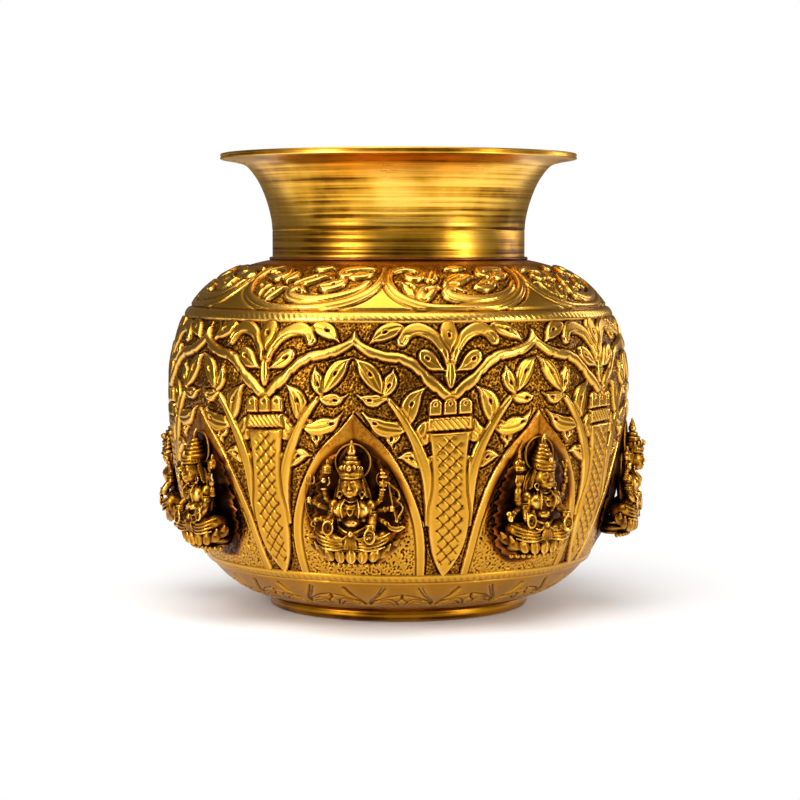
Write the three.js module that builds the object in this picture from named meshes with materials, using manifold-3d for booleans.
// A brass kalash: a round pot with a flared collar, a turned foot and eight seated deity
// castings, each soldered into its own niche between raised pillars and pointed arches.
//
// Millimetres, +Z up. The origin is on the table, on the pot's axis. The front faces -Y,
// and an angle round the pot is measured from -Y towards +X.

import * as THREE from "three";
import { mergeVertices } from "three/addons/utils/BufferGeometryUtils.js";
import Module from "manifold-3d";

const wasm = await Module();
wasm.setup();

// Overall sizes of the pot.
const BODY_SEAT_HEIGHT = 4.4; // where the foot's outer edge meets the bowl
const BELLY_HEIGHT = 77; // where the pot is widest
const SHOULDER_HEIGHT = 122.4; // flat seat that the collar stands on
const RIM_HEIGHT = 160;
const BELLY_RADIUS = 81;
const BODY_WALL = 1.6;
const CLEARANCE = 0.3; // between two pieces that touch

// The foot ring and the dish of the bowl inside it.
const FOOT_RADIUS = 46.2;
const FOOT_WIDTH = 5.6;
const FOOT_GROOVE = 0.8;
const FOOT_EDGE_ROUND = 0.7;
const DISH_DEPTH = 1; // how far the bowl's underside reaches below the seat
const BOWL_OVERHANG = 0.2; // how far the bowl's edge stands outside the foot

// The collar, from its straight stub up to the level brim.
const COLLAR_RADIUS = 44.9;
const COLLAR_WALL = 1.6;
const STUB_TOP = 133;
const BRIM_ROOT_RADIUS = 54.4;
const BRIM_RISE = 1.2; // the brim's underside climbs this much from root to edge
const RIM_RADIUS = 63.3;
const RIM_THICKNESS = 2.1;
const RIM_GROOVE = 0.4;
const BRAZE_SIZE = 1.7; // leg of each fillet of braze

// The two raised bands round the body.
const LOW_BAND_BOTTOM = 16.8;
const LOW_BAND_TOP = 19.6;
const LOW_BAND_PROUD = 0.6;
const HIGH_BAND_BOTTOM = 102.5;
const HIGH_BAND_TOP = 106.1;
const HIGH_BAND_PROUD = 0.9;

// Eight bays: an arch, a niche and a figure in each, and a pillar between each two.
const BAYS = 8;
const FRONT_BAY_ANGLE = THREE.MathUtils.degToRad(-10.4);
const ARCH_APEX = 95.3;
const ARCH_SPRING = 80.2;
const ARCH_WIDTH = 3.2;
const ARCH_PROUD = 1.3;
const PILLAR_TOP = 68.1; // top of the shaft, under its rope band
const PILLAR_NECK_WIDTH = 13.2;
const PILLAR_WAIST_WIDTH = 11.4;
const PILLAR_SWELL_WIDTH = 15.2;
const PILLAR_TOE_WIDTH = 4;
const PILLAR_PROUD = 1.5;
const ROPE_HEIGHT = 4.6;
const ROPE_WIDTH = 14.6;
const ROPE_PROUD = 1.7;
const CAPITAL_HEIGHT = 5.8;
const CAPITAL_WIDTH = 14;
const PILLAR_STEP = 0.4; // height over which the pillar steps from one part to the next

// The branches and palmettes chased in each bay.
const LEAF_WIDTH = 5.4;
const STEM_WIDTH = 2.8;
const LEAF_PROUD = 1.1;

// A figure casting, seated on its lotus, and the solder that holds it.
const FIGURE_FOOT = 25.2; // underside of the lotus above the table
const FIGURE_HEIGHT = 41.6;
const FIGURE_SETBACK = 1; // a figure's middle plane lies this far inside the belly's radius
const LOTUS_HEIGHT = 7;
const LOTUS_HALF_WIDTH = 11.6;
const LOTUS_PETALS = 7;
const LOTUS_OVAL = 0.72; // depth of the lotus as a share of its width
const LOTUS_OUT = -2.6;
const KNEE_HALF_WIDTH = 12;
const SHOULDER_HALF_WIDTH = 5.6;
const HEAD_HALF_WIDTH = 2.9;
const HALO_RADIUS = 5.6;
const HALO_SECTION = 0.55;
const HALO_UP = 33;
const ARM_FULLNESS = 1;
const SOLDER_THICKNESS = 0.8;
const SOLDER_HALF_WIDTH = 14.6;
const SOLDER_BELOW = 1.5; // how far the solder shows under the lotus
const SOLDER_TIP_GAP = 1; // how far the solder's tip stays under the crown's

// How finely round things are faceted, and how small a step between facets is left out.
const TURNS = 32;
const MERGE_WITHIN = 0.05; // millimetres

// Brass as cast, the copper-tinted braze, and the darker castings.
const turnedBrass = { color: 0xc9972f, roughness: 0.32, metalness: 1 };
const chasedBrass = { color: 0xb9862a, roughness: 0.38, metalness: 1 };
const castBrass = { color: 0xa6742a, roughness: 0.42, metalness: 1 };
const copperBraze = { color: 0x9a5526, roughness: 0.5, metalness: 1 };

// Solids

// A closed skin as a solid, turned right side out where its faces were wound inwards.
function solidOf(geometry) {
  const bare = geometry.index ? geometry.toNonIndexed() : geometry.clone();
  bare.deleteAttribute("normal");
  bare.deleteAttribute("uv");
  const merged = mergeVertices(bare, 1e-4);
  const vertProperties = merged.attributes.position.array;
  const triVerts = new Uint32Array(merged.index.array);
  const made = new wasm.Manifold(new wasm.Mesh({ numProp: 3, vertProperties, triVerts }));
  if (made.volume() > 0) return made;
  return new wasm.Manifold(
    new wasm.Mesh({ numProp: 3, vertProperties, triVerts: triVerts.reverse() }),
  );
}

function geometryOf(solid) {
  const mesh = solid.getMesh();
  const geometry = new THREE.BufferGeometry();
  geometry.setAttribute("position", new THREE.BufferAttribute(mesh.vertProperties, 3));
  geometry.setIndex(new THREE.BufferAttribute(mesh.triVerts, 1));
  return geometry;
}

const joined = (solids) =>
  solids.reduce((all, solid) => all.add(solid)).simplify(MERGE_WITHIN);

// A turned piece: points (radius, height) that start and end on the axis or close on themselves.
function turned(points, turns = TURNS) {
  return new THREE.LatheGeometry(points, turns).rotateX(Math.PI / 2);
}

function closedLoop(points) {
  return [...points, points[0].clone()];
}

// Rows of points joined into one closed skin, each end closed by a fan.
function loft(rows) {
  const sides = rows[0].length;
  const positions = rows.flat().flatMap((p) => p.toArray());
  const index = [];
  for (let i = 0; i + 1 < rows.length; i++) {
    for (let j = 0; j < sides; j++) {
      const a = i * sides + j;
      const b = i * sides + ((j + 1) % sides);
      index.push(a, b, b + sides, a, b + sides, a + sides);
    }
  }
  const last = (rows.length - 1) * sides;
  for (let j = 1; j + 1 < sides; j++) {
    index.push(0, j + 1, j);
    index.push(last, last + j, last + j + 1);
  }
  const geometry = new THREE.BufferGeometry();
  geometry.setAttribute("position", new THREE.Float32BufferAttribute(positions, 3));
  geometry.setIndex(index);
  return geometry;
}

// The body's outline

const seatRadius = COLLAR_RADIUS + BRAZE_SIZE;
const bowlRadius = FOOT_RADIUS + BOWL_OVERHANG;
const belly = BELLY_RADIUS;
const lowerRise = BELLY_HEIGHT - BODY_SEAT_HEIGHT;
const upperRise = SHOULDER_HEIGHT - BELLY_HEIGHT;

const lowerCurve = new THREE.CubicBezierCurve(
  new THREE.Vector2(bowlRadius, BODY_SEAT_HEIGHT),
  new THREE.Vector2(0.3 * bowlRadius + 0.7 * belly, BODY_SEAT_HEIGHT + 0.034 * lowerRise),
  new THREE.Vector2(belly, BELLY_HEIGHT - 0.535 * lowerRise),
  new THREE.Vector2(belly, BELLY_HEIGHT),
);
const upperCurve = new THREE.CubicBezierCurve(
  new THREE.Vector2(belly, BELLY_HEIGHT),
  new THREE.Vector2(belly, BELLY_HEIGHT + 0.57 * upperRise),
  new THREE.Vector2(0.335 * seatRadius + 0.665 * belly, SHOULDER_HEIGHT - 0.095 * upperRise),
  new THREE.Vector2(seatRadius, SHOULDER_HEIGHT),
);

// The point of the outline at a height: both curves rise all the way, so halving finds it.
function wallRadius(z) {
  const curve = z < BELLY_HEIGHT ? lowerCurve : upperCurve;
  let low = 0;
  let high = 1;
  for (let i = 0; i < 40; i++) {
    const middle = (low + high) / 2;
    if (curve.getPoint(middle).y < z) low = middle;
    else high = middle;
  }
  return curve.getPoint(low).x;
}

const wallPoint = (z, out = 0) => new THREE.Vector2(wallRadius(z) + out, z);

function levels(low, high, count) {
  return Array.from({ length: count }, (_, i) => low + ((high - low) * (i + 0.5)) / count);
}

function band({ low, high, proud }) {
  const crest = 0.3 * (high - low);
  return [
    wallPoint(low),
    wallPoint(low + 0.7 * crest, proud),
    wallPoint(high - 0.7 * crest, proud),
    wallPoint(high),
  ];
}

const lowBand = { low: LOW_BAND_BOTTOM, high: LOW_BAND_TOP, proud: LOW_BAND_PROUD };
const highBand = { low: HIGH_BAND_BOTTOM, high: HIGH_BAND_TOP, proud: HIGH_BAND_PROUD };

// Heights at which the plain wall has a ring of corners.
const wallLevels = levels(lowBand.high, highBand.low, 6);
const bowlLevels = levels(BODY_SEAT_HEIGHT, lowBand.low, 3);
const shoulderLevels = levels(highBand.high, SHOULDER_HEIGHT, 3);

// A turned plug whose side is the wall moved out, to cut what is seated on the wall.
function wallPlug(out) {
  const heights = [lowBand.low, lowBand.high, ...wallLevels, highBand.low];
  const side = heights.map((z) => wallPoint(z, out));
  const bottom = new THREE.Vector2(0, lowBand.low);
  const top = new THREE.Vector2(0, highBand.low);
  return solidOf(turned([bottom, ...side, top]));
}

// Relief on the wall

const bayAngle = (bay) => FRONT_BAY_ANGLE + (bay * 2 * Math.PI) / BAYS;
const bayHalf = (Math.PI * BELLY_RADIUS) / BAYS;

// A point of the wall: across from the bay's middle, at a height, and so far out of the face.
function onWall(bay, across, z, out) {
  const angle = bayAngle(bay) + across / BELLY_RADIUS;
  const radius = wallRadius(z) + out;
  return new THREE.Vector3(radius * Math.sin(angle), -radius * Math.cos(angle), z);
}

// A rib laid on the wall along a path of (across, height) points. Its section at each point
// is a list of (side, out) pairs, side going from -1 to 1 across the rib, rooted in the wall.
function rib(bay, path, halfWidths, sectionAt) {
  const rows = path.map((point, i) => {
    const before = path[Math.max(i - 1, 0)];
    const after = path[Math.min(i + 1, path.length - 1)];
    const along = after.clone().sub(before).normalize();
    const half = halfWidths[i];
    return sectionAt(i).map(([side, out]) =>
      onWall(bay, point.x + side * half * along.y, point.y - side * half * along.x, out),
    );
  });
  return solidOf(loft(rows));
}

const rootDepth = BODY_WALL / 2;
const ribSection = (proud, crest) => [
  [1, -rootDepth],
  [crest, proud],
  [-crest, proud],
  [-1, -rootDepth],
];

const evenly = (count) => Array.from({ length: count + 1 }, (_, i) => i / count);

// An outline given as its right half, mirrored to run from the left foot over the top.
function mirrored(half) {
  const left = half.map((p) => new THREE.Vector2(-p.x, p.y)).reverse();
  return [...left, ...half.slice(1)];
}

function arch(bay) {
  const rise = ARCH_APEX - ARCH_SPRING;
  const span = bayHalf + ARCH_WIDTH / 6;
  const curve = new THREE.CubicBezierCurve(
    new THREE.Vector2(0, ARCH_APEX),
    new THREE.Vector2(0.2 * span, ARCH_APEX - 0.3 * rise),
    new THREE.Vector2(0.62 * span, ARCH_APEX - 0.16 * rise),
    new THREE.Vector2(span, ARCH_SPRING),
  );
  const path = mirrored(evenly(4).map((t) => curve.getPoint(t)));
  return rib(bay, path, path.map(() => ARCH_WIDTH / 2), () => ribSection(ARCH_PROUD, 0.4));
}

// A pillar stands half a bay to the right of its bay's middle: a vase-shaped shaft, a band
// of rope that stands prouder, and a capital that narrows where its petals end. Each row is a
// height, a width and how proud it is.
function pillar(bay) {
  const foot = lowBand.high;
  const rise = PILLAR_TOP - foot;
  const widths = new THREE.SplineCurve([
    new THREE.Vector2(PILLAR_TOE_WIDTH, foot),
    new THREE.Vector2(0.1 * PILLAR_TOE_WIDTH + 0.8 * PILLAR_SWELL_WIDTH, foot + 0.2 * rise),
    new THREE.Vector2(PILLAR_SWELL_WIDTH, foot + 0.38 * rise),
    new THREE.Vector2(PILLAR_WAIST_WIDTH, foot + 0.68 * rise),
    new THREE.Vector2(PILLAR_NECK_WIDTH, PILLAR_TOP),
  ]);
  const ropeTop = PILLAR_TOP + ROPE_HEIGHT;
  const rows = [
    ...evenly(4).map((t) => [widths.getPoint(t).y, widths.getPoint(t).x, PILLAR_PROUD]),
    [PILLAR_TOP + PILLAR_STEP, ROPE_WIDTH, ROPE_PROUD],
    [ropeTop, ROPE_WIDTH, ROPE_PROUD],
    [ropeTop + PILLAR_STEP, CAPITAL_WIDTH, PILLAR_PROUD],
    [ropeTop + CAPITAL_HEIGHT, 0.7 * CAPITAL_WIDTH, PILLAR_PROUD],
  ];
  const path = rows.map(([z]) => new THREE.Vector2(bayHalf, z));
  const halfWidths = rows.map(([, width]) => width / 2);
  return rib(bay, path, halfWidths, (i) => ribSection(rows[i][2], 0.7));
}

// What is chased freehand has a sharp ridge. Its path is given in shares of half a bay
// across, and of the wall's height between the two bands.
const ridge = (proud) => [
  [1, -rootDepth],
  [0, proud],
  [-1, -rootDepth],
];

function chased(bay, shares, widths, proud, mirror = 1) {
  const path = shares.map(([across, up]) => {
    const z = lowBand.high + up * (highBand.low - lowBand.high);
    return new THREE.Vector2(mirror * across * bayHalf, z);
  });
  return rib(bay, path, widths.map((width) => width / 2), () => ridge(proud));
}

// The branch beside a niche: a stem that ends in a leaf under the arch.
function branch(bay, side) {
  const shares = [[0.78, 0.3], [0.72, 0.5], [0.5, 0.66], [0.13, 0.8]];
  const widths = [0.5 * STEM_WIDTH, STEM_WIDTH, LEAF_WIDTH, 0.1 * LEAF_WIDTH];
  return chased(bay, shares, widths, LEAF_PROUD, side);
}

// The palmette over a pillar: two leaves that spring from one root and curl away.
function palmette(bay) {
  const curl = [[0, 0.84], [0.2, 0.95], [0.42, 0.97], [0.7, 0.93]];
  const widths = [0.5, 0.8, 1, 0.1].map((share) => share * LEAF_WIDTH);
  const left = curl.map(([across, up]) => [1 - across, up]).reverse();
  const right = curl.map(([across, up]) => [1 + across, up]);
  const both = [...left, ...right.slice(1)];
  return chased(bay, both, [...widths.toReversed(), ...widths.slice(1)], LEAF_PROUD);
}

function potBody() {
  const dish = BODY_SEAT_HEIGHT - DISH_DEPTH;
  const inside = (z) => wallPoint(z, -BODY_WALL);
  const points = [
    new THREE.Vector2(0, dish),
    new THREE.Vector2(FOOT_RADIUS - FOOT_WIDTH, dish),
    ...bowlLevels.map((z) => wallPoint(z)),
    ...band(lowBand),
    ...wallLevels.map((z) => wallPoint(z)),
    ...band(highBand),
    ...shoulderLevels.map((z) => wallPoint(z)),
    wallPoint(SHOULDER_HEIGHT),
    new THREE.Vector2(COLLAR_RADIUS - COLLAR_WALL, SHOULDER_HEIGHT),
    new THREE.Vector2(COLLAR_RADIUS - COLLAR_WALL, SHOULDER_HEIGHT - BODY_WALL),
    ...levels(highBand.low, SHOULDER_HEIGHT - BODY_WALL, 2).reverse().map(inside),
    ...levels(lowBand.low, highBand.low, 4).reverse().map(inside),
    inside((dish + BODY_WALL + lowBand.low) / 2),
    new THREE.Vector2(FOOT_RADIUS - FOOT_WIDTH, dish + BODY_WALL),
    new THREE.Vector2(0, dish + BODY_WALL),
  ];
  const relief = [];
  for (let bay = 0; bay < BAYS; bay++) {
    relief.push(arch(bay), pillar(bay), palmette(bay), branch(bay, -1), branch(bay, 1));
  }
  return joined([solidOf(turned(points)), ...relief]);
}

function footRing() {
  const inner = FOOT_RADIUS - FOOT_WIDTH;
  const top = BODY_SEAT_HEIGHT - CLEARANCE;
  const points = [
    new THREE.Vector2(inner, 0),
    new THREE.Vector2(FOOT_RADIUS - FOOT_EDGE_ROUND, 0),
    new THREE.Vector2(FOOT_RADIUS, FOOT_EDGE_ROUND),
    new THREE.Vector2(FOOT_RADIUS, top - FOOT_GROOVE),
    new THREE.Vector2(FOOT_RADIUS - FOOT_GROOVE, top),
    new THREE.Vector2(inner, top - DISH_DEPTH),
  ];
  return turned(closedLoop(points));
}

function neckCollar() {
  const bottom = SHOULDER_HEIGHT + CLEARANCE;
  const edgeBottom = RIM_HEIGHT - RIM_THICKNESS;
  const brimRoot = edgeBottom - BRIM_RISE;
  const flare = (wall, steps) => {
    const rise = brimRoot - STUB_TOP;
    const reach = BRIM_ROOT_RADIUS - COLLAR_RADIUS;
    return new THREE.CubicBezierCurve(
      new THREE.Vector2(COLLAR_RADIUS - wall, STUB_TOP),
      new THREE.Vector2(COLLAR_RADIUS - wall, STUB_TOP + 0.5 * rise),
      new THREE.Vector2(COLLAR_RADIUS - wall + 0.52 * reach, STUB_TOP + 0.72 * rise),
      new THREE.Vector2(BRIM_ROOT_RADIUS - wall, brimRoot + wall / 2),
    ).getPoints(steps);
  };
  const grooveMiddle = (RIM_HEIGHT + edgeBottom) / 2;
  const points = [
    new THREE.Vector2(COLLAR_RADIUS - COLLAR_WALL, bottom),
    new THREE.Vector2(COLLAR_RADIUS, bottom),
    ...flare(0, 4),
    new THREE.Vector2(RIM_RADIUS - RIM_GROOVE, edgeBottom),
    new THREE.Vector2(RIM_RADIUS, edgeBottom + RIM_GROOVE),
    new THREE.Vector2(RIM_RADIUS - RIM_GROOVE, grooveMiddle),
    new THREE.Vector2(RIM_RADIUS, RIM_HEIGHT - RIM_GROOVE),
    new THREE.Vector2(RIM_RADIUS - RIM_GROOVE, RIM_HEIGHT),
    new THREE.Vector2(BRIM_ROOT_RADIUS, RIM_HEIGHT),
    ...flare(COLLAR_WALL, 3).reverse(),
  ];
  return turned(closedLoop(points));
}

// A ring of braze in the corner between the collar's stub and the shoulder.
function neckBraze() {
  const inner = COLLAR_RADIUS + CLEARANCE;
  const low = SHOULDER_HEIGHT + CLEARANCE;
  const leg = BRAZE_SIZE - CLEARANCE;
  return turned(
    closedLoop([
      new THREE.Vector2(inner, low),
      new THREE.Vector2(inner + leg, low),
      new THREE.Vector2(inner, low + leg),
    ]),
  );
}

// A ring of braze in the corner between the foot's inner wall and the bowl's underside.
function footBraze() {
  const outer = FOOT_RADIUS - FOOT_WIDTH - CLEARANCE;
  const high = BODY_SEAT_HEIGHT - DISH_DEPTH - CLEARANCE;
  return turned(
    closedLoop([
      new THREE.Vector2(outer, high - BRAZE_SIZE),
      new THREE.Vector2(outer, high),
      new THREE.Vector2(outer - BRAZE_SIZE, high),
    ]),
  );
}

// The figure castings

// The sculptor's module: each figure is laid out 42 of them tall.
const unit = FIGURE_HEIGHT / 42;
const figureRadius = BELLY_RADIUS - FIGURE_SETBACK;

// A place on a figure: across, out from a radius just inside the belly's, and up from the
// underside of the lotus.
function place(across, out, up) {
  return new THREE.Vector3(across, -(figureRadius + out), FIGURE_FOOT + up);
}

const inModules = ([across, out, up]) => place(across * unit, out * unit, up * unit);

// A limb through a few places, three-sided, with one radius for each place.
function limb(places, radii) {
  const rows = places.map((p, i) => {
    const before = places[Math.max(i - 1, 0)];
    const after = places[Math.min(i + 1, places.length - 1)];
    const along = after.clone().sub(before).normalize();
    const side = new THREE.Vector3(0, 1, 0).cross(along).normalize();
    const other = along.clone().cross(side);
    return [0, 1, 2].map((k) => {
      const a = Math.PI / 2 + (k * 2 * Math.PI) / 3;
      const step = side.clone().multiplyScalar(Math.cos(a) * radii[i]);
      return p.clone().add(step).addScaledVector(other, Math.sin(a) * radii[i]);
    });
  });
  return solidOf(loft(rows));
}

// The lotus seat: an oval cup whose wall is folded into upright pointed petals.
function lotus() {
  const spread = THREE.MathUtils.degToRad(200);
  const columns = Array.from({ length: 2 * LOTUS_PETALS + 1 }, (_, i) => ({
    turn: (i / (2 * LOTUS_PETALS) - 0.5) * spread,
    tip: i % 2 === 1,
  }));
  const ring = (reach, up) =>
    columns.map(({ turn, tip }) => {
      const radius = (tip ? reach[0] : reach[1]) * LOTUS_HALF_WIDTH;
      const height = (tip ? up[0] : up[1]) * LOTUS_HEIGHT;
      const out = LOTUS_OUT + LOTUS_OVAL * radius * Math.cos(turn);
      return place(radius * Math.sin(turn), out, height);
    });
  const rows = [
    ring([0.66, 0.6], [0, 0]),
    ring([1, 0.84], [0.5, 0.45]),
    ring([1.04, 0.82], [1, 0.7]),
    ring([0.8, 0.76], [0.9, 0.9]),
  ];
  return solidOf(loft(rows));
}

// The shins of the crossed legs, folded in front of the thighs from knee to knee.
function shins() {
  const ankle = place(0, 6.4 * unit, 8.2 * unit);
  const knee = (side) => place(0.86 * side * KNEE_HALF_WIDTH, 3.6 * unit, 9.4 * unit);
  return limb([knee(-1), ankle, knee(1)], [2.4 * unit, 1.7 * unit, 2.4 * unit]);
}

// Thighs, waist, chest, shoulders, neck, head and the tiers of the crown as one upright
// form, row by row from the seat: half width, then half depth, how far out and how far up
// in modules.
function bodyAndCrown() {
  const shoulder = SHOULDER_HALF_WIDTH;
  const head = HEAD_HALF_WIDTH;
  const rows = [
    [0.72 * KNEE_HALF_WIDTH, 3.6, 2.4, 6],
    [KNEE_HALF_WIDTH, 4, 2.4, 9.4],
    [0.62 * KNEE_HALF_WIDTH, 3, 2.4, 12.4],
    [0.24 * KNEE_HALF_WIDTH, 2.2, 2.4, 14.8],
    [0.8 * shoulder, 3.2, 3, 19.6],
    [shoulder, 2.6, 2.6, 21.6],
    [0.55 * head, 1.7, 3.7, 23.8],
    [head, 2.9, 4.4, 26.6],
    [head, 2.9, 4.3, 29.6],
    [1.3 * head, 3.5, 4.2, 30.2],
    [1.38 * head, 3.7, 4.2, 32.8],
    [0.75 * head, 2, 4, 34.8],
    [0.4 * head, 1.2, 3.4, 38.6],
    [0.05 * head, 0.2, 3, 42],
  ].map(([half, depth, out, up]) =>
    Array.from({ length: 6 }, (_, k) => {
      const a = (k * Math.PI) / 3;
      return place(half * Math.cos(a), (out + depth * Math.sin(a)) * unit, up * unit);
    }),
  );
  return solidOf(loft(rows));
}

function halo() {
  const ring = new THREE.TorusGeometry(HALO_RADIUS, HALO_SECTION, 3, 8).rotateX(Math.PI / 2);
  ring.scale(1, 1.8, 1);
  return solidOf(ring.translate(...place(0, 2.1 * unit, HALO_UP).toArray()));
}

// Arms, as the places of shoulder, elbow, wrist, the middle of what the hand holds and its
// tip on the right-hand side, with a radius for each, all in modules. The left-hand side is
// the mirror image.
const shoulderJoint = [(0.9 * SHOULDER_HALF_WIDTH) / unit, 2.6, 21];
const openPalm = {
  places: [shoulderJoint, [6.9, 3.6, 16.2], [6.8, 6.2, 13.6], [6.8, 6.7, 10.9]],
  radii: [1.9, 1.4, 2, 0.6],
};
const raisedBud = {
  places: [shoulderJoint, [8.6, 2.6, 22.6], [9.4, 3.2, 28.4], [9.4, 3.4, 31.2], [9, 3.4, 34]],
  radii: [1.6, 1.2, 0.8, 2.3, 0.5],
};
const raisedConch = {
  places: [shoulderJoint, [8.6, 2.6, 22.6], [9.6, 3.2, 28], [9.8, 3.4, 30.4], [9.6, 3.4, 34.4]],
  radii: [1.6, 1.2, 0.8, 1.7, 0.4],
};
const spreadJar = {
  places: [shoulderJoint, [9.6, 2.4, 19], [13.6, 3, 20.6], [14.4, 3, 23], [14, 3, 26]],
  radii: [1.6, 1.2, 0.9, 2, 0.6],
};
const loweredBlade = {
  places: [shoulderJoint, [9.4, 2.4, 16.8], [13, 3, 15.4], [15, 3.2, 15.2], [17.2, 3.2, 15.8]],
  radii: [1.6, 1.2, 1, 1.2, 0.4],
};
const FORMS = [
  [openPalm, raisedBud, spreadJar, loweredBlade],
  [openPalm, raisedBud],
  [openPalm, raisedConch],
  [openPalm, spreadJar],
];

function armPair({ places, radii }) {
  return [-1, 1].map((side) => {
    const route = places.map(([across, out, up]) => inModules([side * across, out, up]));
    return limb(route, radii.map((radius) => radius * ARM_FULLNESS * unit));
  });
}

const castingCutter = wallPlug(2 * CLEARANCE + SOLDER_THICKNESS);
const solderOuter = wallPlug(CLEARANCE + SOLDER_THICKNESS);
const solderInner = wallPlug(CLEARANCE);

function figure(form, bay) {
  const solids = [lotus(), shins(), bodyAndCrown(), halo(), ...form.flatMap(armPair)];
  const turn = THREE.MathUtils.radToDeg(bayAngle(bay));
  return joined(solids).rotate([0, 0, turn]).subtract(castingCutter);
}

// The bed of solder between a casting and the wall: a pointed oval that follows the wall.
function solderBed(bay) {
  const half = SOLDER_HALF_WIDTH;
  const low = FIGURE_FOOT - SOLDER_BELOW;
  const high = FIGURE_FOOT + FIGURE_HEIGHT - SOLDER_TIP_GAP;
  const swell = low + 0.14 * (high - low);
  const waist = high - 0.37 * (high - low);
  const outline = new THREE.Shape();
  outline.moveTo(-0.55 * half, low);
  outline.lineTo(0.55 * half, low);
  outline.bezierCurveTo(1.3 * half, swell, 1.3 * half, waist, 0, high);
  outline.bezierCurveTo(-1.3 * half, waist, -1.3 * half, swell, -0.55 * half, low);
  const depth = BELLY_RADIUS / 2;
  const shape = { depth, bevelEnabled: false, curveSegments: 2 };
  const block = new THREE.ExtrudeGeometry(outline, shape);
  block.rotateX(Math.PI / 2).translate(0, -depth, 0);
  const turn = THREE.MathUtils.radToDeg(bayAngle(bay));
  return solidOf(block).rotate([0, 0, turn]).intersect(solderOuter).subtract(solderInner);
}

// The assembly

const kalash = new THREE.Group();

function addPiece(name, geometry, finish) {
  const mesh = new THREE.Mesh(geometry, new THREE.MeshStandardMaterial(finish));
  mesh.name = name;
  kalash.add(mesh);
}

addPiece("pot_body", geometryOf(potBody()), chasedBrass);
addPiece("neck_collar", neckCollar(), turnedBrass);
addPiece("foot_ring", footRing(), turnedBrass);
addPiece("neck_braze", neckBraze(), copperBraze);
addPiece("foot_braze", footBraze(), copperBraze);
for (let bay = 0; bay < BAYS; bay++) {
  const form = FORMS[bay % FORMS.length];
  addPiece(`figure_${bay + 1}`, geometryOf(figure(form, bay)), castBrass);
  addPiece(`solder_bed_${bay + 1}`, geometryOf(solderBed(bay)), copperBraze);
}

export default kalash;
